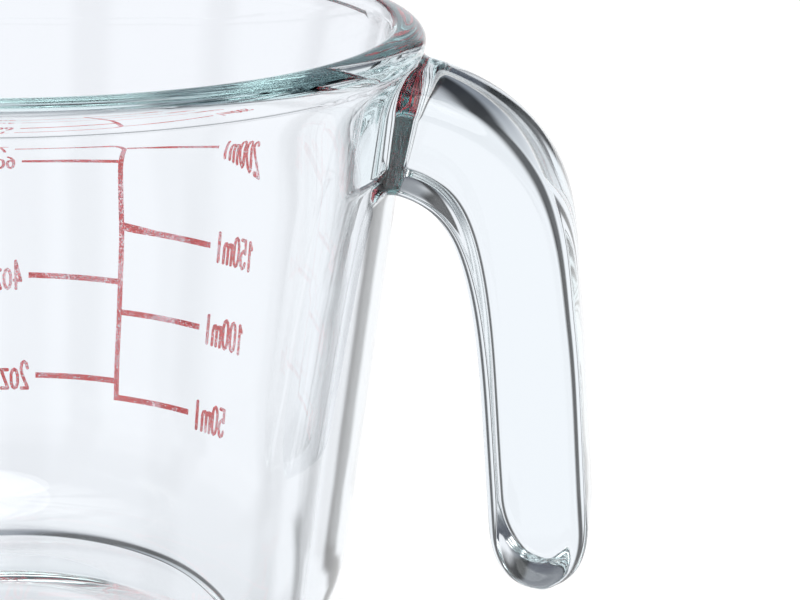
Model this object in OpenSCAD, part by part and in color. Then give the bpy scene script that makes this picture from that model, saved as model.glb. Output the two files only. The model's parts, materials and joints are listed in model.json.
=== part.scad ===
// Measuring jug of pressed clear glass for about one cup.
// A tapering round bowl stands on a narrow foot ring, with a rolled rim and a
// pouring spout on one side. An open hook handle springs from under the rim
// on the other side and ends in a rounded tip above the table.
// A millilitre scale and an ounce scale of fired red enamel share one spine.
// Every mark stands at the height where the bowl really holds that much.
// Axes: Z up from the table, handle along +X, spout along -X, scale on +Y.

/* [Bowl] */
// Height of the rim above the table
jug_h = 76; // [68:1:92]
// Outer radius that the straight wall would have at table height
foot_r = 38.9; // [35:0.1:46]
// How far the wall leans outwards for each unit of height
wall_lean_share = 0.098; // [0.04:0.002:0.14]
// Thickness of the wall, measured level
wall_t = 4; // [3:0.1:5]
// Height of the inside floor above the table
floor_h = 4.8; // [3.8:0.1:7]
// Radius of the round between wall and foot, outside
heel_r = 18; // [14:0.5:20]
// Radius of the round between wall and floor, inside
well_r = 11; // [8:0.5:13]
// Width of the ring that the jug stands on
foot_ring_w = 3; // [2:0.2:5]
// Height of the step where the round meets the foot ring
foot_step_h = 1; // [0.6:0.1:1.6]
// Depth of the hollow inside the foot ring
foot_hollow_h = 1.2; // [0.6:0.1:1.8]

/* [Rim] */
// How far the rolled rim stands out from the wall
bead_out = 0.9; // [0.5:0.1:1.6]
// Height of the rolled rim
bead_h = 2.8; // [2.4:0.1:4]
// Height of the widest line of the roll above its lower edge
bead_wide_h = 1.2; // [0.8:0.1:1.8]
// Height over which the inside opens out slowly below the rim
flare_h = 14; // [10:0.5:15]
// How far the inside opens out by there
flare_out = 0.6; // [0.2:0.1:1.2]
// Width of the round of the lip on its inside
lip_out = 1.4; // [0.8:0.1:1.8]
// Height of the round of the lip on its inside
lip_h = 1.6; // [1:0.1:2.2]

/* [Spout] */
// How far the spout stands out beyond the round rim
spout_out = 6.5; // [3:0.5:9]
// Half the angle that the spout takes of the rim
spout_half_angle = 30; // [22:1:40]
// Height over which the spout grows out of the wall
spout_h = 24; // [16:1:34]

/* [Handle] */
// Distance from the jug axis to the middle of the handle's lower end
grip_x = 62.4; // [58:0.2:76]
// Drop from the rim to the middle of the handle where it leaves the wall
root_drop = 9.3; // [9:0.1:12]
// Height above the table where the tip's round starts
tip_z = 25.4; // [18:0.2:34]
// Thickness of the handle where it leaves the wall, measured upright
root_t = 12.4; // [11:0.2:15]
// Thickness of the handle near its tip
grip_t = 10.6; // [9:0.2:13]
// Width of the handle across the hand
grip_w = 17; // [13:0.5:20]
// How far the handle spreads sideways into the wall, each side
root_spread = 3; // [2:0.2:6]
// Distance from the wall over which it spreads
root_reach = 2.6; // [2:0.2:6]

/* [Scale] */
// Direction of the spine, counted from the handle
spine_angle = 83; // [75:0.5:100]
// Width of the spine and of the marks
line_w = 0.7; // [0.5:0.05:0.9]
// Length of the lowest mark
mark_l = 11.8; // [7:0.2:13]
// How much longer each higher mark is
mark_step_l = 1.2; // [0:0.1:1.6]
// Radius of the bend where the spine turns into the highest ounce mark
bend_r = 2.4; // [2:0.1:3.4]
// Height of the figures
figure_h = 3.6; // [2.6:0.1:3.8]
// Width of one figure
figure_w = 0.9; // [0.8:0.05:1.3]
// Clear space between two figures
figure_gap = 0.5; // [0.4:0.05:0.7]
// Width of the figures' strokes
stroke_w = 0.42; // [0.34:0.02:0.5]
// Clear space between a mark and its figures
label_gap = 1.1; // [0.8:0.1:1.6]
// Thickness of the enamel standing proud of the glass
enamel_t = 0.1; // [0.06:0.02:0.16]

/* [Finish] */
// Number of flats around the bowl
bowl_sides = 80; // [56:8:96]

/* [Hidden] */
$fn = 48;
round_sides = 360;

// volumes in cubic millimetres
ml = 1000;
oz = 29573.5;

// the wall as a leaning line
lean_angle = atan(wall_lean_share);
lean_len_share = sqrt(1 + wall_lean_share * wall_lean_share);
function outer_r(z) = foot_r + wall_lean_share * z;
function inner_r(z) = outer_r(z) - wall_t;

// rounds at the foot
heel_c = outer_r(heel_r) - heel_r * lean_len_share;
well_c = inner_r(floor_h + well_r) - well_r * lean_len_share;
heel_end_angle = asin(foot_step_h / heel_r - 1);
foot_out_r = heel_c + heel_r * cos(heel_end_angle) - foot_step_h / 2;
hollow_r = foot_out_r - foot_ring_w;
heel_top_z = heel_r * (1 - sin(lean_angle));
arc_steps = 7;
heel_steps = 10;

// the outside at a height: the round above the foot, then the leaning wall
function skin_r(z) = z > heel_top_z ? outer_r(z)
    : heel_c + sqrt(heel_r * heel_r - pow(heel_r - z, 2));

// rim heights
neck_z = jug_h - bead_h;
wide_z = neck_z + bead_wide_h;
wide_r = outer_r(neck_z) + bead_out;
flare_z = jug_h - flare_h;

// the slow flare runs into the oval lip where both lean the same way
function meet_angle(n) = n == 0 ? 0 :
    let (rise = flare_h - lip_h * (1 - sin(meet_angle(n - 1))))
    atan(2 * flare_out / rise * lip_h / lip_out);
meet = meet_angle(5);
flare_rise = flare_h - lip_h * (1 - sin(meet));
crest_r = inner_r(jug_h) + flare_out + lip_out * cos(meet);
flare_steps = 4;
lip_steps = 4;

// levels on the straight walls, so that the spout can grow smoothly
spout_z = jug_h - spout_h;
wall_steps = 7;
function spread(low, high, n) = [for (i = [0 : n]) low + (high - low) * i / n];

// the bowl's outline from the middle of the floor, over the rim, to the hollow
well_path = [for (i = [0 : arc_steps])
    let (a = -90 + (90 - lean_angle) * i / arc_steps)
    [well_c + well_r * cos(a), floor_h + well_r + well_r * sin(a)]];
inner_path = [for (z = spread(spout_z, flare_z, wall_steps)) [inner_r(z), z]];
flare_path = [for (i = [1 : flare_steps])
    let (part = i / flare_steps, z = flare_z + flare_rise * part)
    [inner_r(z) + flare_out * part * part, z]];
lip_path = [for (i = [1 : lip_steps])
    let (a = meet + (90 - meet) * i / lip_steps, z = jug_h - lip_h * (1 - sin(a)))
    [inner_r(z) - inner_r(jug_h) + crest_r - lip_out * cos(a), z]];
bead_top_path = [for (i = [1 : arc_steps - 1])
    let (a = 90 - 90 * i / (arc_steps - 1))
    [crest_r + (wide_r - crest_r) * cos(a), wide_z + (jug_h - wide_z) * sin(a)]];
bead_low_path = [for (i = [1 : arc_steps - 3])
    let (a = 90 - 90 * i / (arc_steps - 3))
    [outer_r(neck_z) + bead_out * sin(a), wide_z - bead_wide_h * cos(a)]];
outer_path = [for (z = spread(neck_z, spout_z, wall_steps)) if (z < neck_z) [outer_r(z), z]];
heel_path = [for (i = [0 : heel_steps])
    let (a = -lean_angle + (heel_end_angle + lean_angle) * i / heel_steps)
    [heel_c + heel_r * cos(a), heel_r + heel_r * sin(a)]];
foot_path = [[foot_out_r, 0], [hollow_r, 0], [hollow_r - foot_hollow_h, foot_hollow_h]];
bowl_path = concat(well_path, inner_path, flare_path, lip_path, bead_top_path,
    bead_low_path, outer_path, heel_path, foot_path);

// how much of the spout's reach a point of the outline takes
function smooth(share) = share <= 0 ? 0 : share >= 1 ? 1 : share * share * (3 - 2 * share);
function spout_side_share(a) =
    let (off = abs(a - 180) / spout_half_angle)
    off >= 1 ? 0 : pow(cos(90 * off), 2);
function spout_share(a, z) = spout_side_share(a) * smooth((z - spout_z) / spout_h);

function ring_point(p, a) =
    let (r = p[0] + spout_out * spout_share(a, p[1]))
    [r * cos(a), r * sin(a), p[1]];

// a closed skin from rings of points with a middle point at each end
function skin_faces(rings, sides) = concat(
    [for (j = [0 : sides - 1]) [0, 1 + (j + 1) % sides, 1 + j]],
    [for (i = [0 : rings - 2]) for (j = [0 : sides - 1])
        let (a = 1 + i * sides + j, b = 1 + i * sides + (j + 1) % sides)
        [a, b, b + sides, a + sides]],
    [for (j = [0 : sides - 1])
        let (base = 1 + (rings - 1) * sides)
        [base + j, base + (j + 1) % sides, rings * sides + 1]]);

module bowl() {
    points = concat([[0, 0, floor_h]],
        [for (p = bowl_path) for (j = [0 : bowl_sides - 1]) ring_point(p, 360 * j / bowl_sides)],
        [[0, 0, foot_hollow_h]]);
    polyhedron(points, skin_faces(len(bowl_path), bowl_sides), convexity = 8);
}

// the handle follows a bent line from inside the wall to the tip
root_depth_share = 0.45;
root_pull_share = 0.256;
root_fall_share = -0.03;
tip_pull_share = 0.34;
tip_lean_share = 0.12;
root_z = jug_h - root_drop;
root_x = outer_r(root_z) - wall_t * root_depth_share;
root_pull = grip_x * root_pull_share;
tip_pull = jug_h * tip_pull_share;
line_points = [[root_x, root_z], [root_x + root_pull, root_z - root_pull * root_fall_share],
               [grip_x - tip_pull * tip_lean_share, tip_z + tip_pull], [grip_x, tip_z]];
function along(t) = pow(1 - t, 3) * line_points[0] + 3 * t * pow(1 - t, 2) * line_points[1]
    + 3 * t * t * (1 - t) * line_points[2] + pow(t, 3) * line_points[3];
function heading(t) = let (v = pow(1 - t, 2) * (line_points[1] - line_points[0])
    + 2 * t * (1 - t) * (line_points[2] - line_points[1])
    + t * t * (line_points[3] - line_points[2])) v / norm(v);

// how much of the root's spread is left at a distance from the wall
function fillet_w(d) = d >= root_reach ? 0 :
    root_spread * (1 - sqrt(1 - pow(1 - max(d, 0) / root_reach, 2)));

// one ring of the handle: a rounded oblong across the line, bent round the bowl near the wall
hand_sides = 24;
hand_round_share = 0.35;
root_lift_share = 0.1;
taper_end_share = 0.8;
function oblong(a, half_w, half_t) =
    [half_w * sign(cos(a)) * pow(abs(cos(a)), hand_round_share),
     half_t * sign(sin(a)) * pow(abs(sin(a)), hand_round_share)];
function hand_ring(c, v, half_w, half_t, wrap_share) = [for (j = [0 : hand_sides - 1])
    let (q = oblong(-360 * j / hand_sides, half_w, half_t),
         sag = c[0] - sqrt(pow(c[0], 2) - pow(q[0], 2)))
    [c[0] - v[1] * q[1] - sag * wrap_share, q[0], c[1] + v[0] * q[1]]];

near_share = 0.12;
wrap_reach_share = 4.8;
line_shares = concat(spread(0, near_share, 7),
    [for (i = [1 : 14]) near_share + (1 - near_share) * i / 14]);
hand_rings = [for (t = line_shares)
    let (c = along(t), d = c[0] - outer_r(c[1]), spread_w = fillet_w(d),
         half_t = (root_t + (grip_t - root_t) * smooth(t / taper_end_share)) / 2)
    hand_ring(c, heading(t), grip_w / 2 + spread_w, half_t + spread_w * root_lift_share,
        1 - smooth(d / (root_reach * wrap_reach_share)))];

// the tip closes in a round a little longer than half the handle's thickness
tip_r = grip_t / 2;
tip_steps = 6;
tip_len_share = 1.35;
tip_end_angle = 84;
tip_narrow_share = 0.25;
tip_rings = [for (i = [1 : tip_steps])
    let (a = tip_end_angle * i / tip_steps,
         c = line_points[3] + heading(1) * tip_r * tip_len_share * sin(a))
    hand_ring(c, heading(1), grip_w / 2 - tip_r * (1 - cos(a)) * tip_narrow_share,
        tip_r * cos(a), 0)];

module handle() {
    rings = concat(hand_rings, tip_rings);
    end = line_points[3] + heading(1) * tip_r * tip_len_share;
    points = concat([[line_points[0][0], 0, line_points[0][1]]],
        [for (r = rings) for (p = r) p], [[end[0], 0, end[1]]]);
    polyhedron(points, skin_faces(len(rings), hand_sides), convexity = 4);
}

// heights where the bowl holds a volume: a leaning wall above a rounded floor
floor_in_r = inner_r(floor_h);
well_loss = (1 - PI / 4) * well_r * well_r * 2 * PI * (floor_in_r - well_r / 4);
function level_z(v) = floor_h + (pow((v + well_loss) * 3 * wall_lean_share / PI
    + pow(floor_in_r, 3), 1 / 3) - floor_in_r) / wall_lean_share;

// the enamel lies in a thin coat that bites a little into the glass
enamel_bite = 0.08;
coat_steps = 4;
module coat(low, high, angle_a, angle_b) {
    levels = low > heel_top_z ? [low, high] : spread(low, high, coat_steps);
    outer_side = [for (z = levels) [skin_r(z) + enamel_t, z]];
    inner_side = [for (i = [len(levels) - 1 : -1 : 0]) [skin_r(levels[i]) - enamel_bite, levels[i]]];
    rotate([0, 0, angle_a])
        rotate_extrude(angle = angle_b - angle_a, $fn = round_sides)
            polygon(concat(outer_side, inner_side));
}

// angle for a length along the wall at a height
function turn(length, z) = length / skin_r(z) * 180 / PI;

ml_level = [50, 100, 150, 200];
oz_level = [2, 4, 6, 7];
ml_z = [for (v = ml_level) level_z(v * ml)];
oz_z = [for (v = oz_level) level_z(v * oz)];
function mark_len(i) = mark_l + mark_step_l * i;

// marks run from the spine's edge, towards the handle or towards the spout
module mark(z, length, side) {
    near = turn(line_w / 2, z);
    far = turn(length, z);
    a = side > 0 ? spine_angle + near : spine_angle - far;
    coat(z - line_w / 2, z + line_w / 2, a, a + far - near);
}

// flat shapes pressed out along a direction and kept where they meet the coat
coat_slack = 0.05;
module on_wall(z, angle, half_h, half_angle) {
    intersection() {
        coat(z - half_h, z + half_h, angle - half_angle, angle + half_angle);
        rotate([0, 0, angle]) translate([skin_r(z), 0, z]) rotate([90, 0, 90])
            translate([0, 0, -wall_t]) linear_extrude(2 * wall_t) children();
    }
}

// strokes of the figures: lines and rings in a box of width 1 and height 1
module stroke(p, q) {
    a = [p[0] * figure_w, p[1] * figure_h];
    b = [q[0] * figure_w, q[1] * figure_h];
    d = b - a;
    translate(a) rotate([0, 0, atan2(d[1], d[0])]) {
        translate([0, -stroke_w / 2]) square([norm(d), stroke_w]);
        circle(d = stroke_w);
        translate([norm(d), 0]) circle(d = stroke_w);
    }
}
module strokes(path_shares) {
    for (i = [0 : len(path_shares) - 2]) stroke(path_shares[i], path_shares[i + 1]);
}

zero_shares = [[0, 0.25], [0.2, 0.06], [0.5, 0], [0.8, 0.06], [1, 0.25], [1, 0.75],
               [0.8, 0.94], [0.5, 1], [0.2, 0.94], [0, 0.75], [0, 0.25]];
one_shares = [[0.15, 0.78], [0.6, 1], [0.6, 0]];
two_shares = [[0, 0.76], [0.18, 0.94], [0.5, 1], [0.85, 0.93], [1, 0.74], [0.85, 0.52],
              [0, 0], [1, 0]];
four_shares = [[0.75, 0], [0.75, 1], [0, 0.3], [1, 0.3]];
five_shares = [[0.95, 1], [0.1, 1], [0.04, 0.55], [0.5, 0.62], [0.88, 0.52], [1, 0.3],
               [0.86, 0.08], [0.5, 0], [0.16, 0.05], [0, 0.2]];
six_shares = [[0.88, 0.96], [0.45, 0.86], [0.08, 0.6], [0, 0.28], [0.18, 0.06], [0.5, 0],
              [0.84, 0.07], [1, 0.29], [0.84, 0.52], [0.5, 0.58], [0.12, 0.46]];
seven_shares = [[0, 1], [1, 1], [0.3, 0]];
ell_shares = [[0.5, 1], [0.5, 0]];
oh_shares = [[0, 0.2], [0.2, 0.05], [0.5, 0], [0.8, 0.05], [1, 0.2], [1, 0.5],
             [0.8, 0.65], [0.5, 0.7], [0.2, 0.65], [0, 0.5], [0, 0.2]];
zed_shares = [[0, 0.68], [1, 0.68], [0, 0], [1, 0]];
em_left_shares = [[0, 0], [0, 0.7]];
em_mid_shares = [[0, 0.55], [0.3, 0.7], [0.62, 0.68], [0.8, 0.52], [0.8, 0]];
em_right_shares = [[0.8, 0.55], [1.1, 0.7], [1.42, 0.68], [1.6, 0.52], [1.6, 0]];

// advance of each figure, and the whole width of a label
em_extra_share = 0.6;
em_extra = figure_w * em_extra_share;
pitch = figure_w + figure_gap;
function is_em(c) = c == "m" ? 1 : 0;
function label_w(word) = len(word) * pitch - figure_gap + len(search("m", word, 0)[0]) * em_extra;
function before(word, i) = i == 0 ? 0 : pitch + is_em(word[i - 1]) * em_extra + before(word, i - 1);

module figure(c) {
    if (c == "0") strokes(zero_shares);
    if (c == "1") strokes(one_shares);
    if (c == "2") strokes(two_shares);
    if (c == "4") strokes(four_shares);
    if (c == "5") strokes(five_shares);
    if (c == "6") strokes(six_shares);
    if (c == "7") strokes(seven_shares);
    if (c == "l") strokes(ell_shares);
    if (c == "o") strokes(oh_shares);
    if (c == "z") strokes(zed_shares);
    if (c == "m") {
        strokes(em_left_shares);
        strokes(em_mid_shares);
        strokes(em_right_shares);
    }
}

// a label beyond the end of its mark, centred on the mark's height
module label(word, z, length, side) {
    w = label_w(word);
    middle = length + label_gap + w / 2;
    angle = spine_angle + side * turn(middle, z);
    on_wall(z, angle, (figure_h + stroke_w) / 2 + coat_slack, turn(w, z))
        translate([-w / 2, -figure_h / 2])
            for (i = [0 : len(word) - 1]) translate([before(word, i), 0]) figure(word[i]);
}

// SUB-PARTS

module glass_jug() {
    color([0.85, 0.93, 0.94, 0.4]) union() {
        bowl();
        handle();
    }
}

module spine() {
    color([0.82, 0.2, 0.2])
        coat(ml_z[0] - line_w / 2, oz_z[3] - bend_r, spine_angle - turn(line_w / 2, ml_z[1]),
            spine_angle + turn(line_w / 2, ml_z[1]));
}

module mark_50ml() color([0.82, 0.2, 0.2]) mark(ml_z[0], mark_len(0), -1);
module mark_100ml() color([0.82, 0.2, 0.2]) mark(ml_z[1], mark_len(1), -1);
module mark_150ml() color([0.82, 0.2, 0.2]) mark(ml_z[2], mark_len(2), -1);
module mark_200ml() color([0.82, 0.2, 0.2]) mark(ml_z[3], mark_len(3), -1);
module mark_2oz() color([0.82, 0.2, 0.2]) mark(oz_z[0], mark_len(0), 1);
module mark_4oz() color([0.82, 0.2, 0.2]) mark(oz_z[1], mark_len(1), 1);
module mark_6oz() color([0.82, 0.2, 0.2]) mark(oz_z[2], mark_len(2), 1);

// the highest ounce mark starts as a bend out of the spine
module mark_7oz() {
    z = oz_z[3];
    length = mark_len(3);
    color([0.82, 0.2, 0.2])
        on_wall(z - bend_r / 2, spine_angle + turn(length / 2, z), bend_r, turn(length, z))
            translate([bend_r - length / 2, -bend_r / 2]) {
                intersection() {
                    difference() {
                        circle(bend_r + line_w / 2);
                        circle(bend_r - line_w / 2);
                    }
                    translate([-2 * bend_r, 0]) square(2 * bend_r);
                }
                translate([0, bend_r - line_w / 2]) square([length - bend_r, line_w]);
            }
}

module label_50ml() color([0.82, 0.2, 0.2]) label("50ml", ml_z[0], mark_len(0), -1);
module label_100ml() color([0.82, 0.2, 0.2]) label("100ml", ml_z[1], mark_len(1), -1);
module label_150ml() color([0.82, 0.2, 0.2]) label("150ml", ml_z[2], mark_len(2), -1);
module label_200ml() color([0.82, 0.2, 0.2]) label("200ml", ml_z[3], mark_len(3), -1);
module label_2oz() color([0.82, 0.2, 0.2]) label("2oz", oz_z[0], mark_len(0), 1);
module label_4oz() color([0.82, 0.2, 0.2]) label("4oz", oz_z[1], mark_len(1), 1);
module label_6oz() color([0.82, 0.2, 0.2]) label("6oz", oz_z[2], mark_len(2), 1);
module label_7oz() color([0.82, 0.2, 0.2]) label("7oz", oz_z[3], mark_len(3), 1);

glass_jug();
spine();
mark_50ml();
mark_100ml();
mark_150ml();
mark_200ml();
mark_2oz();
mark_4oz();
mark_6oz();
mark_7oz();
label_50ml();
label_100ml();
label_150ml();
label_200ml();
label_2oz();
label_4oz();
label_6oz();
label_7oz();
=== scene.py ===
# %% [markdown]
# # A measuring jug of pressed clear glass
# This lesson dresses a finished CAD model of a small measuring jug. The CAD model says where
# everything is and how large it is. Here the glass becomes one smooth skin with real refraction,
# and the red scale becomes fired enamel.

# %% Load the CAD frame
import json
import math

import bmesh
import bpy
import numpy as np
from mathutils import Matrix, Vector

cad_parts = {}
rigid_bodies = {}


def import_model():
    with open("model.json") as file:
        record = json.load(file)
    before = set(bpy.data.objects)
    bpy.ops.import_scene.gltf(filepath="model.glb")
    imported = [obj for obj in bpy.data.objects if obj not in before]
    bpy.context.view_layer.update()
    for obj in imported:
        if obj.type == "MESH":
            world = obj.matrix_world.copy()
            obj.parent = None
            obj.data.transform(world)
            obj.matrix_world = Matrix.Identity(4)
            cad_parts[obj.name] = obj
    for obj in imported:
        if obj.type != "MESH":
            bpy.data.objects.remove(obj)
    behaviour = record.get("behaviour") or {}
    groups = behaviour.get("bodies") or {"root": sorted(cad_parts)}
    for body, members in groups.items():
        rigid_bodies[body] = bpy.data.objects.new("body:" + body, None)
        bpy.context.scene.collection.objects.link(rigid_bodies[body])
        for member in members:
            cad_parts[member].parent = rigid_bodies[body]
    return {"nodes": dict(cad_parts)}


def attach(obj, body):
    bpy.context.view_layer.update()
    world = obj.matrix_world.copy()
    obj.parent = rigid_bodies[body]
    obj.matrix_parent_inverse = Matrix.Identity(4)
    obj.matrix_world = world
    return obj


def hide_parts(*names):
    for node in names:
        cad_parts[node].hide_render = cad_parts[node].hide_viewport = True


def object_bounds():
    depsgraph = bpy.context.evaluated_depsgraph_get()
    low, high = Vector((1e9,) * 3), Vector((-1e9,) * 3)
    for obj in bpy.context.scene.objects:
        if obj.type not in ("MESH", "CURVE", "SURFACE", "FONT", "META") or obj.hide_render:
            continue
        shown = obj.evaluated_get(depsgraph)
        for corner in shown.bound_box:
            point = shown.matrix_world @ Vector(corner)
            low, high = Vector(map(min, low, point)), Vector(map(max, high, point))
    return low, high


for leftover in list(bpy.data.objects):
    bpy.data.objects.remove(leftover)
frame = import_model()
nodes = frame["nodes"]
cad_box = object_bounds()
MM = 0.001


def in_mm(box):
    return [[round(v / MM, 2) for v in corner] for corner in box]


print("CAD box in mm:", in_mm(cad_box))

# %% [markdown]
# ## The camera
# The photograph was taken from a little above the rim and close by, with a long lens. A camera can
# be pushed about by hand until the picture looks right. Here it was fitted instead, to the rim, the
# wall, the foot, the marks and the handle's tip, because glass shows every wrong angle in the way
# its edges bend light. It is put in first, as every later choice is judged through it.

# %% Place the camera
CAMERA_FAR = 215.7 * MM
CAMERA_UP = 114.7 * MM
CAMERA_ROUND = math.radians(18.5)
# these three are in radians
LOOK_ASIDE = 0.2120
LOOK_DOWN = 0.3171
CAMERA_ROLL = 0.0427
# these two are in millimetres
LENS, SENSOR_W = 91.03, 36

camera_data = bpy.data.cameras.new("camera")
camera_data.lens = LENS
camera_data.sensor_width = SENSOR_W
camera_data.clip_start = MM
camera = bpy.data.objects.new("camera", camera_data)
bpy.context.scene.collection.objects.link(camera)
camera.matrix_world = (
    Matrix.Rotation(CAMERA_ROUND, 4, "Z")
    @ Matrix.Translation((0, -CAMERA_FAR, CAMERA_UP))
    @ Matrix.Rotation(-LOOK_ASIDE, 4, "Z")
    @ Matrix.Rotation(math.pi / 2 - LOOK_DOWN, 4, "X")
    @ Matrix.Rotation(CAMERA_ROLL, 4, "Z")
)
bpy.context.scene.camera = camera
print("camera at mm:", [round(v / MM, 1) for v in camera.matrix_world.translation])

# %% [markdown]
# ## Node trees as plain Python
# Materials and Geometry Nodes are both networks of small boxes. They could be drawn by hand in the
# editor, but then the sums in them can't be read. A small class wraps one socket, so that
# `1 - mask * 0.5` adds the Math nodes by itself. Every node comes from one method.

# %% A socket that can be calculated with
class Wire:
    """One output socket of a node tree, with the usual operators on numbers."""

    def __init__(self, bench, socket):
        self.bench = bench
        self.socket = socket

    def __add__(self, other):
        return self.bench.math("ADD", self, other)

    __radd__ = __add__

    def __mul__(self, other):
        return self.bench.math("MULTIPLY", self, other)

    __rmul__ = __mul__

    def __sub__(self, other):
        return self.bench.math("SUBTRACT", self, other)

    def __rsub__(self, other):
        return self.bench.math("SUBTRACT", other, self)

    def __truediv__(self, other):
        return self.bench.math("DIVIDE", self, other)

    def __rtruediv__(self, other):
        return self.bench.math("DIVIDE", other, self)

    def __pow__(self, other):
        return self.bench.math("POWER", self, other)

    def __rpow__(self, other):
        return self.bench.math("POWER", other, self)


# %% A bench on which nodes are laid out and wired
class Bench:
    """A node tree. Its add method makes every node, and the others use it."""

    def __init__(self, tree):
        self.tree = tree

    def add(self, kind, settings=None, values=None):
        """Adds a node: its settings first, then numbers or wires for its sockets."""
        node = self.tree.nodes.new(kind)
        for name, setting in (settings or {}).items():
            setattr(node, name, setting)
        for name, value in (values or {}).items():
            self.set(node.inputs[name], value)
        return [Wire(self, socket) for socket in node.outputs]

    def set(self, socket, value):
        if isinstance(value, Wire):
            self.tree.links.new(value.socket, socket)
        else:
            socket.default_value = value

    def named(self, kind, names):
        """Adds a node and gives the outputs of these names."""
        outputs = self.add(kind)[0].socket.node.outputs
        return [Wire(self, outputs[name]) for name in names]

    def math(self, operation, *values):
        return self.add("ShaderNodeMath", {"operation": operation}, dict(enumerate(values)))[0]

    def soft_step(self, value, start, end, low=0.0, high=1.0):
        """A number that goes softly from low to high while the value goes from start to end."""
        return self.add("ShaderNodeMapRange", {"interpolation_type": "SMOOTHSTEP"}, {
            "Value": value, "From Min": start, "From Max": end, "To Min": low, "To Max": high})[0]

    def mix_number(self, share, first, second):
        return self.add("ShaderNodeMix", {"data_type": "FLOAT"}, {0: share, 2: first, 3: second})[0]

    def mix_colour(self, share, first, second):
        return self.add("ShaderNodeMix", {"data_type": "RGBA"}, {0: share, 6: first, 7: second})[2]

    def mix_shader(self, share, first, second):
        return self.add("ShaderNodeMixShader", None, {0: share, 1: first, 2: second})[0]


# %% [markdown]
# ## The outline of the bowl
# A pressed glass bowl is round, so one outline says it all: from the middle of the floor up the
# inside, over the rolled rim, down the outside and under the foot. The CAD model is made of flats,
# and flats show in clear glass. Smoothing them would blur the rim too, so the bowl is drawn anew
# from the same sizes. Each stretch is a formula, and it has as many points as its curve needs.

# %% The bowl's sizes in millimetres
JUG_H = cad_box[1][2] / MM
FOOT_R, LEAN, WALL_T, FLOOR_H = 38.9, 0.098, 4.0, 4.8
HEEL_R, WELL_R = 18.0, 11.0
FOOT_RING_W, FOOT_STEP_H, FOOT_HOLLOW_H = 3.0, 1.0, 1.2
FOOT_ROUND, HOLLOW_SLOPE_W = 0.5, 15.0
BEAD_OUT, BEAD_H, BEAD_WIDE_H = 0.9, 2.8, 1.2
NECK_ROUND, NECK_TALL = 1.0, 6.0
FLARE_H, FLARE_OUT = 13.0, 0.8
LIP_OUT, LIP_H = 0.9, 1.2
NECK_Z = JUG_H - BEAD_H
WIDE_Z = NECK_Z + BEAD_WIDE_H
# the wall has a row of points at this height, where the opening for the handle ends below
HOLE_LOW_Z = 53.0


def outer_r(z):
    return FOOT_R + LEAN * z


def inner_r(z):
    return outer_r(z) - WALL_T


print("wall at the rim: outside at mm", round(outer_r(JUG_H), 2), "inside", round(inner_r(JUG_H), 2))


# %% Curves for the outline
def smooth(share):
    """A soft step from 0 to 1, level at both ends."""
    share = np.clip(share, 0, 1)
    return share * share * (3 - 2 * share)


def shares_of(steps):
    """Even shares of a stretch, from just past its start to its end."""
    return np.linspace(0, 1, steps + 1)[1:]


def arc(centre, radii, start, end, steps):
    """Points of a round or oval arc in degrees, without its first point."""
    angles = np.radians(np.linspace(start, end, steps + 1))[1:]
    return [(centre[0] + radii[0] * math.cos(a), centre[1] + radii[1] * math.sin(a)) for a in angles]


def line(start, end, steps):
    """Points of a straight stretch, without its first point."""
    return [(start[0] + (end[0] - start[0]) * i / steps, start[1] + (end[1] - start[1]) * i / steps)
            for i in range(1, steps + 1)]


# %% Where the stretches meet
MEET_ROUNDS = 6
lean_angle = math.degrees(math.atan(LEAN))
lean_len = math.hypot(1, LEAN)
heel_c = outer_r(HEEL_R) - HEEL_R * lean_len
well_c = inner_r(FLOOR_H + WELL_R) - WELL_R * lean_len
heel_end = math.degrees(math.asin(FOOT_STEP_H / HEEL_R - 1))
foot_out_r = heel_c + HEEL_R * math.cos(math.radians(heel_end)) - FOOT_STEP_H / 2
hollow_r = foot_out_r - FOOT_RING_W
wide_r = outer_r(NECK_Z) + BEAD_OUT


def flare_and_lip():
    """The wall's slow flare runs into the oval lip where both lean the same way."""
    meet = 0.0
    for _ in range(MEET_ROUNDS):
        length = FLARE_H - LIP_H * (1 - math.sin(meet))
        meet = math.atan(2 * FLARE_OUT / length * LIP_H / LIP_OUT)
    return length, meet


flare_len, lip_meet = flare_and_lip()
crest_r = inner_r(JUG_H) + FLARE_OUT + LIP_OUT * math.cos(lip_meet)
print("foot ring at mm:", round(foot_out_r, 2), "crest of the rim at mm:", round(crest_r, 2))

# %% The inside, from the middle of the floor to the crest
FLARE_STEPS, LIP_STEPS = 14, 9


def inside_path():
    flare_z = JUG_H - FLARE_H
    path = [(0.0, FLOOR_H)]
    path += line(path[-1], (well_c, FLOOR_H), steps=10)
    path += arc((well_c, FLOOR_H + WELL_R), (WELL_R, WELL_R), -90, -lean_angle, steps=16)
    path += line(path[-1], (inner_r(flare_z), flare_z), steps=26)
    for share in shares_of(FLARE_STEPS):
        z = flare_z + flare_len * share
        path.append((inner_r(z) + FLARE_OUT * share ** 2, z))
    for a in np.linspace(lip_meet, math.pi / 2, LIP_STEPS + 1)[1:]:
        z = JUG_H - LIP_H * (1 - math.sin(a))
        path.append((inner_r(z) + crest_r - inner_r(JUG_H) - LIP_OUT * math.cos(a), z))
    return path


# %% The outside, from the crest down and under the foot
FOOT_EDGE_START = -20
HOLLOW_STEPS = 12


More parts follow.
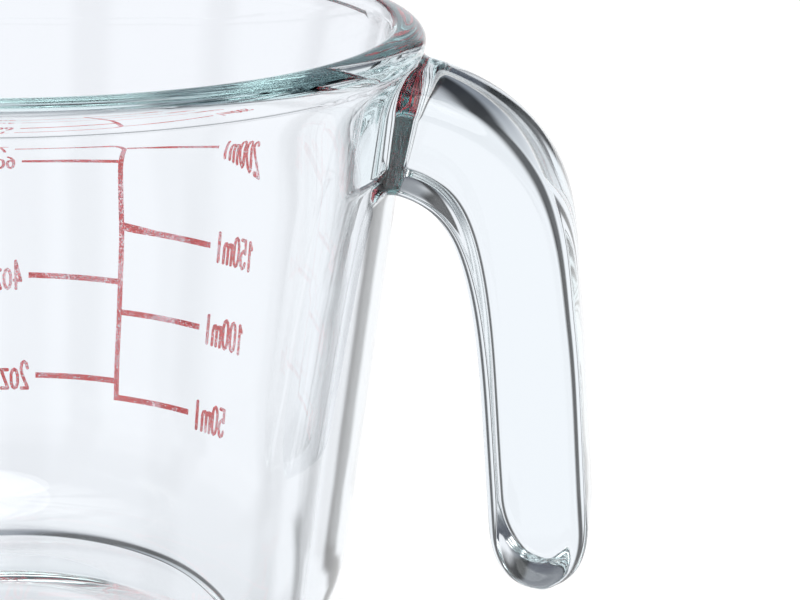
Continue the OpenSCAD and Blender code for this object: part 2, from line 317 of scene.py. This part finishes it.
def outside_path():
    path = arc((crest_r, WIDE_Z), (wide_r - crest_r, JUG_H - WIDE_Z), 90, 0, steps=12)
    # the neck below the bead is a tall oval that ends where it leans like the wall
    neck_end = math.pi - math.atan(LEAN * NECK_TALL / NECK_ROUND)
    neck_low = NECK_Z - NECK_TALL * (1 - math.sin(neck_end))
    neck_r = outer_r(neck_low) - NECK_ROUND * math.cos(neck_end)
    path += arc((neck_r, WIDE_Z), (wide_r - neck_r, BEAD_WIDE_H), 0, -90, steps=7)
    path += arc((neck_r, NECK_Z - NECK_TALL), (NECK_ROUND, NECK_TALL), 90,
                math.degrees(neck_end), steps=8)
    path += line(path[-1], (outer_r(HOLE_LOW_Z), HOLE_LOW_Z), steps=20)
    heel_top_z = HEEL_R * (1 - math.sin(math.radians(lean_angle)))
    path += line(path[-1], (outer_r(heel_top_z), heel_top_z), steps=16)
    path += arc((heel_c, HEEL_R), (HEEL_R, HEEL_R), -lean_angle, heel_end, steps=22)
    path += arc((foot_out_r - FOOT_ROUND, FOOT_ROUND), (FOOT_ROUND, FOOT_ROUND),
                FOOT_EDGE_START, -90, steps=4)
    path += line(path[-1], (hollow_r + FOOT_ROUND, 0.0), steps=3)
    for share in shares_of(HOLLOW_STEPS):
        path.append((hollow_r + FOOT_ROUND - HOLLOW_SLOPE_W * share, FOOT_HOLLOW_H * smooth(share)))
    path += line(path[-1], (0.0, FOOT_HOLLOW_H), steps=10)
    return path


outline = np.array(inside_path() + outside_path())
print("outline points:", len(outline), "widest at mm:", round(outline[:, 0].max(), 2))

# %% [markdown]
# ## Turning the bowl with Geometry Nodes
# The bowl is pressed in a round mould, and its spout is a soft bulge of the same wall. The Screw
# modifier could turn the outline, but it knows no spout. A node tree does both: it wraps a flat
# grid round the axis, one column for each step of the turn and one row for each outline point, and
# where the spout is, it pulls the wall outwards. The spout's sizes are the tree's named inputs.

# %% Sizes of the spout, and the outline as a mesh
SIDES = 256
SPOUT_OUT = 6.48 * MM
SPOUT_HALF = math.radians(30)
SPOUT_H = 24 * MM
SPOUT_LOW = JUG_H * MM - SPOUT_H


def outline_mesh(points):
    """The outline as a bare row of vertices in the XZ plane, in metres."""
    mesh = bpy.data.meshes.new("outline")
    edges = [(i, i + 1) for i in range(len(points) - 1)]
    mesh.from_pydata([(r * MM, 0, z * MM) for r, z in points], edges, [])
    return bpy.data.objects.new("outline", mesh)


# %% The named inputs of the tree
def add_inputs(tree):
    face = tree.interface
    face.new_socket("Outline", in_out="INPUT", socket_type="NodeSocketGeometry")
    for name, kind, value in (("Sides", "NodeSocketInt", SIDES),
                              ("Spout Reach", "NodeSocketFloat", SPOUT_OUT),
                              ("Spout Half Angle", "NodeSocketFloat", SPOUT_HALF),
                              ("Spout Low", "NodeSocketFloat", SPOUT_LOW),
                              ("Spout Height", "NodeSocketFloat", SPOUT_H),
                              ("Glass", "NodeSocketMaterial", None)):
        socket = face.new_socket(name, in_out="INPUT", socket_type=kind)
        if value is not None:
            socket.default_value = value
    face.new_socket("Skin", in_out="OUTPUT", socket_type="NodeSocketGeometry")


# %% The tree that turns an outline
WELD_GAP = MM / 1000


def spout_pull(bench, angle, level, reach, half_angle, low, height):
    """How far the spout pulls a point out: more with height, and less towards its sides."""
    off_spout = bench.math("ABSOLUTE", angle - math.pi) / half_angle
    beside = bench.math("MINIMUM", off_spout, 1.0)
    side_share = bench.math("COSINE", beside * (math.pi / 2)) ** 2.0
    rise_share = bench.soft_step(level, low, low + height)
    return reach * side_share * rise_share


def turning_tree(rows):
    tree = bpy.data.node_groups.new("turn outline with spout", "GeometryNodeTree")
    add_inputs(tree)
    bench = Bench(tree)
    given, sides, reach, half_angle, low, height, glass = bench.add("NodeGroupInput")[:7]

    # a flat grid: its vertices are counted along each column first
    grid = bench.add("GeometryNodeMeshGrid", None, {"Vertices X": sides + 1, "Vertices Y": rows})[0]
    index = bench.add("GeometryNodeInputIndex")[0]
    row = bench.math("MODULO", index, rows)
    column = bench.math("FLOOR", index / rows)

    # each row takes its radius and height from the outline, and each column its angle
    position = bench.add("GeometryNodeInputPosition")[0]
    sample = bench.add("GeometryNodeSampleIndex", {"data_type": "FLOAT_VECTOR"},
                       {"Geometry": given, "Value": position, "Index": row})[0]
    radius, _, level = bench.add("ShaderNodeSeparateXYZ", None, {0: sample})
    angle = column * (2 * math.pi) / sides
    pulled = radius + spout_pull(bench, angle, level, reach, half_angle, low, height)
    placed = bench.add("ShaderNodeCombineXYZ", None, {
        0: pulled * bench.math("COSINE", angle), 1: pulled * bench.math("SINE", angle), 2: level})[0]
    moved = bench.add("GeometryNodeSetPosition", None, {"Geometry": grid, "Position": placed})[0]

    # the row is kept, so that the handle's place can be found later
    marked = bench.add("GeometryNodeStoreNamedAttribute", {"data_type": "INT", "domain": "POINT"},
                       {"Geometry": moved, "Name": "row", "Value": row})[0]
    joined = bench.add("GeometryNodeMergeByDistance", None,
                       {"Geometry": marked, "Distance": WELD_GAP})[0]
    outwards = bench.add("GeometryNodeFlipFaces", None, {"Mesh": joined})[0]
    shaded = bench.add("GeometryNodeSetShadeSmooth", None, {"Geometry": outwards})[0]
    real = bench.add("GeometryNodeRealizeInstances", None, {"Geometry": shaded})[0]
    done = bench.add("GeometryNodeSetMaterial", None, {"Geometry": real, "Material": glass})[0]
    bench.add("NodeGroupOutput", None, {0: done})
    return tree


# %% Turn the bowl and make it a plain mesh
def set_inputs(modifier, values):
    """A modifier's inputs are set by the identifier of their socket."""
    for item in modifier.node_group.interface.items_tree:
        if item.in_out == "INPUT" and item.name in values:
            modifier[item.identifier] = values[item.name]


def turned_bowl(glass):
    source = outline_mesh(outline)
    bpy.context.scene.collection.objects.link(source)
    lathe = source.modifiers.new("turn", "NODES")
    lathe.node_group = turning_tree(len(outline))
    set_inputs(lathe, {"Sides": SIDES, "Glass": glass})
    ready = source.evaluated_get(bpy.context.evaluated_depsgraph_get())
    mesh = bpy.data.meshes.new_from_object(ready)
    source.modifiers.remove(lathe)
    bpy.data.objects.remove(source)
    print("bowl:", len(mesh.polygons), "faces")
    return mesh


# %% [markdown]
# ## The handle
# The handle is pressed in one piece with the bowl: there is no joint, only a round where it flows
# out of the wall, wide at the sides, small below, and tight under the rim. A handle that was only
# pushed into the wall would show its buried end through the clear glass. So the wall gets an
# opening, and the handle is drawn as rings along a bent line, the first ring on the wall itself.
# A section is a block with round corners and a crowned outer face. Its width and its thickness
# change by themselves, which a sweep with one scale can't do, so this is mesh code.

# %% The handle's sizes in millimetres
GRIP_X, ROOT_DROP, TIP_Z = 62.35, 9.3, 25.3
ROOT_T, GRIP_T, GRIP_W, TAPER_END_SHARE = 12.4, 10.6, 17.0, 0.8
# where the bent line starts in the wall, and how it is pulled outwards there and up at the tip
ROOT_DEPTH_SHARE, ROOT_PULL_SHARE, ROOT_FALL_SHARE = 0.45, 0.256, -0.03
TIP_PULL_SHARE, TIP_LEAN_SHARE = 0.34, 0.12

# %% The bent line of the handle
root_z = JUG_H - ROOT_DROP
root = np.array([outer_r(root_z) - WALL_T * ROOT_DEPTH_SHARE, root_z])
root_pull = GRIP_X * ROOT_PULL_SHARE
tip_pull = JUG_H * TIP_PULL_SHARE
tip = np.array([GRIP_X, TIP_Z])
bend_points = np.array([root, root + [root_pull, -root_pull * ROOT_FALL_SHARE],
                        tip + [-tip_pull * TIP_LEAN_SHARE, tip_pull], tip])


def along(t):
    """The place at a share of the line, which is a cubic curve."""
    weights = np.array([(1 - t) ** 3, 3 * t * (1 - t) ** 2, 3 * t * t * (1 - t), t ** 3])
    return weights @ bend_points


def heading(t):
    """The way in which the line runs there."""
    steps = np.diff(bend_points, axis=0)
    way = np.array([(1 - t) ** 2, 2 * t * (1 - t), t * t]) @ steps
    return way / np.linalg.norm(way)


# %% Where the line leaves the wall
FINE_SHARES = 2001
CLEAR_OF_WALL = 20


def wall_gap(t):
    x, z = along(t)
    return x - outer_r(z)


# a place is looked up only where the line still moves away from the wall
fine = np.linspace(0, 1, FINE_SHARES)
gaps = np.array([wall_gap(t) for t in fine])
rising = slice(0, int(np.argmax(gaps > CLEAR_OF_WALL)) + 1)


def share_at_gap(gap):
    """Where along the line the middle of the handle is this far from the wall."""
    return float(np.interp(gap, gaps[rising], fine[rising]))


first_t = share_at_gap(0)
first_c, first_h = along(first_t), heading(first_t)
print("handle leaves the wall at mm:", first_c.round(2), "heading", first_h.round(3))

# %% The outside of the wall, from its widest row to the heel
widest_row = int(np.argmax(outline[:, 0]))
outside = outline[widest_row:]
outside = outside[:int(np.argmax(outside[:, 1] < HEEL_R))]


def outside_r(z):
    return np.interp(z, outside[::-1, 1], outside[::-1, 0])


def round_off(spread, reach, gap):
    """How much a quarter-oval fillet still adds at a distance from the wall."""
    left = np.clip(1 - gap / reach, 0, 1)
    return spread * (1 - math.sqrt(1 - left * left))


print("rows of the outside:", len(outside))

# %% A block with round corners
TOP_CORNER, LOW_CORNER, CORNER_PULL = 2.0, 1.2, 4.0
FIRST_CORNER, SIDE_STEPS = -135, 1800


def on_block(directions, half_w, half_t, corner):
    """Points of a rectangle with round corners, each in its direction as seen in a unit square."""
    wide, thick = abs(np.cos(directions)) * half_w, abs(np.sin(directions)) * half_t
    flat = 1 / np.maximum(wide / half_w, thick / half_t)
    corner_w, corner_t = half_w - corner, half_t - corner
    toward, length = wide * corner_w + thick * corner_t, wide * wide + thick * thick
    inside = np.maximum(toward ** 2 - length * (corner_w ** 2 + corner_t ** 2 - corner ** 2), 0)
    bend = (toward + np.sqrt(inside)) / length
    reach = np.where((wide * flat > corner_w) & (thick * flat > corner_t), bend, flat)
    return np.cos(directions) * half_w * reach, np.sin(directions) * half_t * reach


def even_directions(half_w, half_t, along_w, along_t):
    """Directions that part a section evenly, but with more points in its corners."""
    dense = np.radians(np.linspace(FIRST_CORNER, FIRST_CORNER + 360, 4 * SIDE_STEPS + 1))
    top = on_block(dense, half_w, half_t, TOP_CORNER)
    low = on_block(dense, half_w, half_t, LOW_CORNER)
    y, depth = np.where(np.sin(dense) > 0, top, low)
    step_y, step_d = np.diff(y), np.diff(depth)
    turn = abs(np.diff(np.unwrap(np.arctan2(step_d, step_y)), append=0))
    turn[-1] = 0
    length = np.concatenate([[0], np.cumsum(np.hypot(step_y, step_d) + turn * CORNER_PULL)])
    parts = []
    for side, count in enumerate((along_w, along_t, along_w, along_t)):
        start, end = length[side * SIDE_STEPS], length[(side + 1) * SIDE_STEPS]
        parts.append(np.interp(np.linspace(start, end, count + 1)[:-1], length, dense))
    return np.concatenate(parts)


# %% How wide and thick the handle is along its line
SIDE_SPREAD, SIDE_REACH = 3.0, 2.6
LOW_SPREAD, LOW_REACH = 1.0, 1.2
TOP_SPREAD, TOP_REACH = 0.4, 0.8
# near the wall it is thicker above and thinner below
ROOT_SWELL, ROOT_WAIST, WAIST_REACH = 0.6, 0.4, 12.0
# the bend is fuller on its outer side
KNUCKLE, KNUCKLE_START, KNUCKLE_END, KNUCKLE_FADE = 0.95, 0.1, 0.38, 0.3
# the outer face is crowned, more so at the root
ROOT_CROWN, GRIP_CROWN = 3.0, 0.3
THINNEST = 0.001


def half_sizes(t, shrink, narrow):
    """Half the width, the reach above and below the line, and the crown of the outer face."""
    gap = wall_gap(t)
    near = 1 - smooth(gap / WAIST_REACH)
    taper = smooth(t / TAPER_END_SHARE)
    half_t = (ROOT_T + (GRIP_T - ROOT_T) * taper) / 2
    knuckle = KNUCKLE * smooth((t - KNUCKLE_START) / KNUCKLE_FADE)
    knuckle = knuckle * (1 - smooth((t - KNUCKLE_END) / KNUCKLE_FADE))
    half_w = GRIP_W / 2 - narrow + round_off(SIDE_SPREAD, SIDE_REACH, gap)
    top = (half_t + knuckle + ROOT_SWELL * near + round_off(TOP_SPREAD, TOP_REACH, gap)) * shrink
    low = (half_t - ROOT_WAIST * near + round_off(LOW_SPREAD, LOW_REACH, gap)) * shrink
    crown = (ROOT_CROWN + (GRIP_CROWN - ROOT_CROWN) * taper) / half_t * shrink ** 2
    return half_w, max(top, THINNEST), max(low, THINNEST), crown


# %% One ring of the handle
WRAP_REACH = 12.6


def section(t, directions, shrink=1.0, narrow=0.0, shift=0.0):
    """One ring of the handle in millimetres, bent round the wall where it is near."""
    ahead = heading(t)
    middle = along(t) + ahead * shift
    half_w, top, low, crown = half_sizes(t, shrink, narrow)
    over = on_block(directions, half_w, top, min(TOP_CORNER, top))
    under = on_block(directions, half_w, low, min(LOW_CORNER, low))
    y, depth = np.where(np.sin(directions) > 0, over, under)
    depth = depth * (1 - np.where(depth > 0, crown, 0.0) * (y / half_w) ** 2)
    x = middle[0] - ahead[1] * depth
    z = middle[1] + ahead[0] * depth
    wrap = 1 - smooth(wall_gap(t) / WRAP_REACH)
    if wrap > 0:
        wall_x = np.sqrt(np.maximum(outside_r(z) ** 2 - y ** 2, 0))
        x = x + wrap * (wall_x - (first_c[0] - first_h[1] * depth))
    return np.stack([x, y, z], axis=1)


# %% All rings, from the wall to the tip
FILLET_END = 6.0
FILLET_RINGS, SHANK_RINGS, TIP_RINGS = 20, 62, 16
# the tip is longer than a half round, a little narrower at its end, and full
TIP_LEN_SHARE, TIP_NARROW_SHARE, TIP_FULL = 1.35, 0.25, 0.85


def handle_rings(hole_directions, along_w, along_t):
    """All rings from the wall to the end, evenly parted once they are off the wall."""
    even = even_directions(GRIP_W / 2, GRIP_T / 2, along_w, along_t)
    turns = np.radians(np.linspace(90, 0, FILLET_RINGS + 1))
    shares = [share_at_gap(FILLET_END * (1 - math.sin(a))) for a in turns]
    shares += list(np.linspace(shares[-1], 1, SHANK_RINGS + 1)[1:])
    rings = []
    for t in shares:
        mix = smooth(wall_gap(t) / FILLET_END)
        rings.append(section(t, hole_directions + (even - hole_directions) * mix))
    half = GRIP_T / 2
    for a in np.radians(np.linspace(0, 90, TIP_RINGS + 1))[1:]:
        narrow = half * (1 - math.cos(a)) * TIP_NARROW_SHARE
        shift = half * TIP_LEN_SHARE * math.sin(a)
        rings.append(section(1.0, even, math.cos(a) ** TIP_FULL, narrow, shift))
    # the last ring is flat: each point meets its mirror image, so that the end closes
    facing = (2 * along_w + along_t - np.arange(len(even))) % len(even)
    rings[-1] = (rings[-1] + rings[-1][facing]) / 2
    return rings


# %% Open the wall for the handle
HOLE_HALF = 22
low_row = widest_row + int(np.argmin(abs(outline[widest_row:, 1] - HOLE_LOW_Z)))


def open_wall(bm):
    """Takes a patch out of the wall. Gives its edge once round, and its columns and rows."""
    row_of = bm.verts.layers.int["row"]
    spot = {}
    for vert in bm.verts:
        column = round(math.atan2(vert.co.y, vert.co.x) * SIDES / (2 * math.pi))
        if widest_row <= vert[row_of] <= low_row and abs(column) <= HOLE_HALF:
            spot[vert[row_of], column] = vert

    # the edge runs below, up one side, above, and down the other
    across = list(range(-HOLE_HALF, HOLE_HALF + 1))
    upwards = list(range(low_row, widest_row - 1, -1))
    edge = [(low_row, c) for c in across[:-1]] + [(r, HOLE_HALF) for r in upwards[:-1]]
    edge += [(widest_row, c) for c in across[:0:-1]] + [(r, -HOLE_HALF) for r in upwards[:0:-1]]
    rim = [spot[key] for key in edge]
    within = [spot[key] for key in spot if key not in edge]
    bmesh.ops.delete(bm, geom=within, context="VERTS")
    print("opening for the handle:", len(within), "vertices gone,", len(rim), "round its edge")
    return rim, len(across) - 1, len(upwards) - 1


# %% Rings on the wall, between the opening and the handle
PATCH_RINGS = 8


def edge_directions(flat):
    """Each edge point's direction from the middle of the opening."""
    z_low, z_top = outline[low_row, 1], outline[widest_row, 1]
    aside = flat[:, 0] / abs(flat[:, 0]).max()
    above = (flat[:, 1] - (z_low + z_top) / 2) * 2 / (z_top - z_low)
    return np.unwrap(np.arctan2(above, aside))


def wall_rings(flat, first):
    target = np.stack([np.arctan2(first[:, 1], first[:, 0]), first[:, 2]], axis=1)
    rings = []
    for i in range(1, PATCH_RINGS):
        at = flat + (target - flat) * i / PATCH_RINGS
        r = outside_r(at[:, 1])
        rings.append(np.stack([r * np.cos(at[:, 0]), r * np.sin(at[:, 0]), at[:, 1]], axis=1))
    return rings


# %% Join the handle to the bowl
DOUBLE_GAP, THIN_GAP = MM / 500, MM / 5000
ML_IN_CUBIC_METRE = 1e6


def jug_mesh(bowl):
    bm = bmesh.new()
    bm.from_mesh(bowl)
    rim, columns, rows = open_wall(bm)
    # on the wall a place is an angle round the axis and a height
    flat = np.array([[math.atan2(vert.co.y, vert.co.x), vert.co.z / MM] for vert in rim])
    rings = handle_rings(edge_directions(flat), columns, rows)
    last = rim
    for ring in wall_rings(flat, rings[0]) + rings:
        new = [bm.verts.new(Vector(point) * MM) for point in ring]
        for j in range(len(new)):
            after = (j + 1) % len(new)
            bm.faces.new((last[j], last[after], new[after], new[j]))
        last = new
    bmesh.ops.remove_doubles(bm, verts=last, dist=DOUBLE_GAP)
    bmesh.ops.dissolve_degenerate(bm, dist=THIN_GAP, edges=bm.edges)
    bmesh.ops.recalc_face_normals(bm, faces=bm.faces)
    for face in bm.faces:
        face.smooth = True
    print("jug: faces", len(bm.faces), "open edges", sum(e.is_boundary for e in bm.edges),
          "crossed edges", sum(not e.is_manifold for e in bm.edges),
          "volume ml", round(bm.calc_volume(signed=True) * ML_IN_CUBIC_METRE, 2))
    mesh = bpy.data.meshes.new("glass")
    bm.to_mesh(mesh)
    bm.free()
    return mesh


# %% [markdown]
# ## The glass
# Clear glass has no colour on its surface: what shows is the room, bent. A tinted Base Color would
# colour thin and thick glass alike. The real tint lies inside, so it is absorption in the volume,
# and thick parts and long ways along the wall turn teal grey. Pressed glass is never quite flat, so
# a very faint wide bump lets the lines waver.

# %% A material to wire up
WHITE = (1, 1, 1, 1)


def new_material(name):
    material = bpy.data.materials.new(name)
    material.use_nodes = True
    material.node_tree.nodes.clear()
    return material, Bench(material.node_tree)


# %% The glass material
GLASS_IOR = 1.5
GLASS_TINT = (0.72, 0.92, 0.92, 1)
GLASS_DENSITY = 8.0
WAVE_SIZE, WAVE_STRENGTH = 90.0, 0.35
WAVE_DEPTH = 0.05 * MM


def glass_material():
    material, bench = new_material("clear_glass")
    place = bench.add("ShaderNodeTexCoord")[3]
    wave = bench.add("ShaderNodeTexNoise", None,
                     {"Vector": place, "Scale": WAVE_SIZE, "Detail": 1.0, "Roughness": 0.4})[0]
    bump = bench.add("ShaderNodeBump", None,
                     {"Strength": WAVE_STRENGTH, "Distance": WAVE_DEPTH, "Height": wave})[0]
    surface = bench.add("ShaderNodeBsdfPrincipled", None, {
        "Base Color": WHITE, "Roughness": 0.0, "IOR": GLASS_IOR,
        "Transmission Weight": 1.0, "Normal": bump})[0]
    inside = bench.add("ShaderNodeVolumeAbsorption", None,
                       {"Color": GLASS_TINT, "Density": GLASS_DENSITY})[0]
    bench.add("ShaderNodeOutputMaterial", None, {"Surface": surface, "Volume": inside})
    return material


# %% The glass jug in place of the CAD's
glass = glass_material()
jug = bpy.data.objects.new("glass", jug_mesh(turned_bowl(glass)))
bpy.context.scene.collection.objects.link(jug)
# clearing also takes the old slot numbers off the faces
jug.data.materials.clear()
jug.data.materials.append(glass)
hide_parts("glass_jug")
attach(jug, "root")

# %% [markdown]
# ## The enamel
# The scale is fired on as ground red glass. The coat is a little uneven: thick spots are deep red,
# thin spots look pinker, and here and there it is worn through in specks. One flat red would look
# like tape, and a picture of a worn coat would repeat. So two noises are laid together, wide patches
# and fine grains. The coat also passes light on from behind, because it is mostly seen that way.

# %% The enamel's colours and wear
ENAMEL_DEEP = (0.9, 0.045, 0.05, 1)
ENAMEL_THIN = (0.95, 0.27, 0.36, 1)
PATCH_SIZE, GRAIN_SIZE = 240.0, 5200.0
PATCH_SHARE, GRAIN_SHARE = 0.7, 0.3
THIN_FROM, THIN_TO = 0.4, 0.62
COAT_ROUGH, THIN_ROUGHER = 0.28, 0.12
GRAIN_STRENGTH, GRAIN_DEPTH = 0.3, 0.02 * MM
# how much light the coat passes on, and how far it is gone where it is worn
ENAMEL_THROUGH, ENAMEL_GAPS = 0.65, 0.6
GAPS_FROM, GAPS_SOFT, GAPS_WHERE_THIN = 0.59, 0.12, 0.16


# %% The enamel material
def enamel_coat(bench, thin, grains):
    """The coat where it isn't worn: a shiny face, mixed with light from behind."""
    bump = bench.add("ShaderNodeBump", None,
                     {"Strength": GRAIN_STRENGTH, "Distance": GRAIN_DEPTH, "Height": grains})[0]
    surface = bench.add("ShaderNodeBsdfPrincipled", None, {
        "Base Color": bench.mix_colour(thin, ENAMEL_DEEP, ENAMEL_THIN),
        "Roughness": thin * THIN_ROUGHER + COAT_ROUGH, "IOR": GLASS_IOR, "Normal": bump})[0]
    through = [bench.add("ShaderNodeBsdfTranslucent", None, {"Color": red, "Normal": bump})[0]
               for red in (ENAMEL_DEEP, ENAMEL_THIN)]
    return bench.mix_shader(ENAMEL_THROUGH, surface, bench.mix_shader(thin, *through))


def enamel_material():
    material, bench = new_material("red_enamel")
    place = bench.add("ShaderNodeTexCoord")[3]
    patches = bench.add("ShaderNodeTexNoise", None,
                        {"Vector": place, "Scale": PATCH_SIZE, "Detail": 4.0, "Roughness": 0.6})[0]
    grains = bench.add("ShaderNodeTexNoise", None,
                       {"Vector": place, "Scale": GRAIN_SIZE, "Detail": 2.0})[0]
    thin = bench.soft_step(patches * PATCH_SHARE + grains * GRAIN_SHARE, THIN_FROM, THIN_TO)
    bare = bench.add("ShaderNodeBsdfTransparent")[0]
    gaps = bench.soft_step(grains + thin * GAPS_WHERE_THIN, GAPS_FROM, GAPS_FROM + GAPS_SOFT,
                           0.0, ENAMEL_GAPS)
    worn = bench.mix_shader(gaps, enamel_coat(bench, thin, grains), bare)
    # light that is inside the coat leaves it freely: the coat counts once, not on both faces
    within = bench.named("ShaderNodeNewGeometry", ("Backfacing",))[0]
    both = bench.mix_shader(within, worn, bare)
    bench.add("ShaderNodeOutputMaterial", None, {"Surface": both})
    return material


# %% Fire the enamel on every piece of the scale
enamel = enamel_material()
for name, node in nodes.items():
    if name != "glass_jug":
        for slot in node.material_slots:
            slot.material = enamel
        print(name, "has", len(node.material_slots), "slot in enamel")

# %% [markdown]
# ## The room
# Clear glass shows best against white, with something darker above and around it, because its
# edges are the places that bend that darkness into view. A picture of a real room could stand in
# for it, but plain zones can be set one by one. By height, the room is white from below up to the
# horizon and a little over it, dark higher up, and bright straight overhead like a large soft
# lamp. Low down, one corner of the room is dark as well. Eight narrow dark strips stand upright
# all round. All this shows only where glass or gloss bends or mirrors it: to the camera itself
# the room is plain white.

# %% The dark corner low down
CORNER_TURN, CORNER_HALF, CORNER_SOFT = 107.0, 32.0, 8.0
# heights here run from -1, straight down, to 1, straight up
LOWEST_SEEN, STEEP_LOW, STEEP_HIGH = -0.55, -0.95, -0.86


def sky_level(bench, height, around):
    """The height whose colour is taken, and how steeply a ray goes down."""
    off_corner = bench.math("PINGPONG", around - math.radians(CORNER_TURN), math.pi)
    elsewhere = bench.soft_step(off_corner, math.radians(CORNER_HALF - CORNER_SOFT),
                                math.radians(CORNER_HALF + CORNER_SOFT))
    steep = bench.soft_step(height, STEEP_LOW, STEEP_HIGH, 1.0, 0.0)
    # out of the corner, and straight down, there is white table
    lifted = bench.math("MAXIMUM", height, LOWEST_SEEN) - height
    return height + lifted * bench.math("MAXIMUM", elsewhere, steep), steep


# %% The room's colours by height
SKY_STOPS = (
    (0.00, (0.24, 0.26, 0.30)), (0.10, (0.30, 0.33, 0.38)), (0.20, (0.90, 0.93, 0.98)),
    (0.45, (0.93, 0.95, 1.0)), (0.56, (0.93, 0.95, 1.0)),
    (0.63, (0.30, 0.32, 0.35)), (0.78, (0.09, 0.10, 0.13)), (0.93, (0.09, 0.10, 0.13)),
    (0.96, (1.3, 1.3, 1.3)))


def sky_colour(bench, level):
    # the level runs from -1 to 1, and the ramp from 0 to 1
    ramp = bench.add("ShaderNodeValToRGB", None, {0: level * 0.5 + 0.5})[0]
    stops = ramp.socket.node.color_ramp.elements
    while len(stops) < len(SKY_STOPS):
        stops.new(1.0)
    for stop, (place, colour) in zip(stops, SKY_STOPS):
        stop.position = place
        stop.color = (*colour, 1)
    return ramp


# %% The dark upright strips
STRIPS, STRIP_TURN, STRIP_HALF, STRIP_SOFT = 8, 119.0, 6.0, 3.0
STRIP_DARK = 0.9


def strip_light(bench, around):
    """How bright the room is at an angle: 1 between the strips, little in the middle of one."""
    off_strip = bench.math("PINGPONG", around - math.radians(STRIP_TURN), math.pi / STRIPS)
    return bench.soft_step(off_strip, math.radians(STRIP_HALF - STRIP_SOFT),
                           math.radians(STRIP_HALF + STRIP_SOFT), 1 - STRIP_DARK, 1.0)


# %% The world
ROOM_LIGHT, BEHIND_LIGHT, BEHIND_TOP = 1.1, 3.6, 0.5


def build_world():
    world = bpy.data.worlds.new("studio")
    world.use_nodes = True
    world.node_tree.nodes.clear()
    bench = Bench(world.node_tree)
    camera_ray, glossy_ray, through_ray, scattered = bench.named("ShaderNodeLightPath", (
        "Is Camera Ray", "Is Glossy Ray", "Is Transmission Ray", "Diffuse Depth"))
    direction = bench.add("ShaderNodeTexCoord")[0]
    east, north, height = bench.add("ShaderNodeSeparateXYZ", None, {0: direction})
    around = bench.math("ARCTAN2", north, east)
    level, steep = sky_level(bench, height, around)

    # only rays that glass has bent or mirrored see the zones, not those that light the enamel
    lit_way = bench.math("MINIMUM", scattered, 1.0)
    bent = bench.math("MAXIMUM", glossy_ray, through_ray) * (1 - lit_way)

    # light that reaches the enamel through the glass makes up for what the glass keeps back
    behind = bench.add("ShaderNodeMapRange", None, {
        "Value": height, "From Min": 0.0, "From Max": BEHIND_TOP, "To Min": BEHIND_LIGHT,
        "To Max": ROOM_LIGHT})[0]
    room = bench.mix_number(through_ray * lit_way, ROOM_LIGHT, behind)
    seen = bench.mix_colour(bent, room, sky_colour(bench, level))
    plain = bench.mix_colour(camera_ray, seen, WHITE)
    dimmed = bench.mix_number(bent * (1 - steep), 1.0, strip_light(bench, around))
    light = bench.add("ShaderNodeBackground", None, {"Color": plain, "Strength": dimmed})[0]
    bench.add("ShaderNodeOutputWorld", None, {"Surface": light})
    bpy.context.scene.world = world
    print("world:", len(bench.tree.nodes), "nodes,", len(SKY_STOPS), "colours by height")


build_world()

# %% [markdown]
# ## The table and the lamp
# The jug stands on a white table that runs into the white behind it without an edge. A matte disc
# under a lamp would come out grey, and more light would bleach the jug. So to the camera and in
# mirrors the disc is mostly glow, and the rest is matte and keeps the jug's soft shadow. Light that
# has gone through the glass passes the disc by and meets the room's own white below.

# %% The table
FLOOR_R, FLOOR_SIDES = 3.0, 96
FLOOR_DEPTH = 0.05 * MM
FLOOR_COLOUR = (0.86, 0.86, 0.86, 1)
FLOOR_GLOW = 1.06
MATTE_SHARE = 0.25


def build_floor():
    bm = bmesh.new()
    bmesh.ops.create_circle(bm, cap_ends=True, radius=FLOOR_R, segments=FLOOR_SIDES)
    mesh = bpy.data.meshes.new("floor")
    bm.to_mesh(mesh)
    bm.free()
    floor = bpy.data.objects.new("floor", mesh)
    floor.location.z = -FLOOR_DEPTH
    bpy.context.scene.collection.objects.link(floor)
    material, bench = new_material("pale_floor")
    matte = bench.add("ShaderNodeBsdfDiffuse", None, {"Color": FLOOR_COLOUR})[0]
    glow = bench.add("ShaderNodeEmission", None, {"Color": WHITE, "Strength": FLOOR_GLOW})[0]
    camera_ray, glossy_ray = bench.named("ShaderNodeLightPath", ("Is Camera Ray", "Is Glossy Ray"))
    seen = bench.math("MAXIMUM", camera_ray, glossy_ray)
    both = bench.mix_shader(seen * (1 - MATTE_SHARE), matte, glow)
    bench.add("ShaderNodeOutputMaterial", None, {"Surface": both})
    floor.data.materials.append(material)
    floor.visible_transmission = False
    print("table: radius", FLOOR_R, "m")


build_floor()

# %% A large soft lamp overhead
LAMP_SIZE, LAMP_UP, LAMP_POWER = 0.9, 1.1, 4.0
LAMP_EAST, LAMP_NORTH = 0.25, -0.35
LAMP_TILT, LAMP_LEAN = math.radians(18), math.radians(12)
lamp_data = bpy.data.lights.new("soft_lamp", "AREA")
lamp_data.shape = "DISK"
lamp_data.size = LAMP_SIZE
lamp_data.energy = LAMP_POWER
lamp = bpy.data.objects.new("soft_lamp", lamp_data)
lamp.location = (LAMP_EAST, LAMP_NORTH, LAMP_UP)
lamp.rotation_euler = (LAMP_TILT, LAMP_LEAN, 0)
bpy.context.scene.collection.objects.link(lamp)
print("lamp:", LAMP_SIZE, "m wide,", LAMP_POWER, "W,", LAMP_UP, "m up")

# %% Colours as written, and enough bounces
# light that runs on inside the wall meets many faces before it leaves
BOUNCES = 40
bpy.context.scene.view_settings.view_transform = "Standard"
for kind in ("max_bounces", "transmission_bounces", "glossy_bounces"):
    setattr(bpy.context.scene.cycles, kind, BOUNCES)
print("bounces:", BOUNCES)
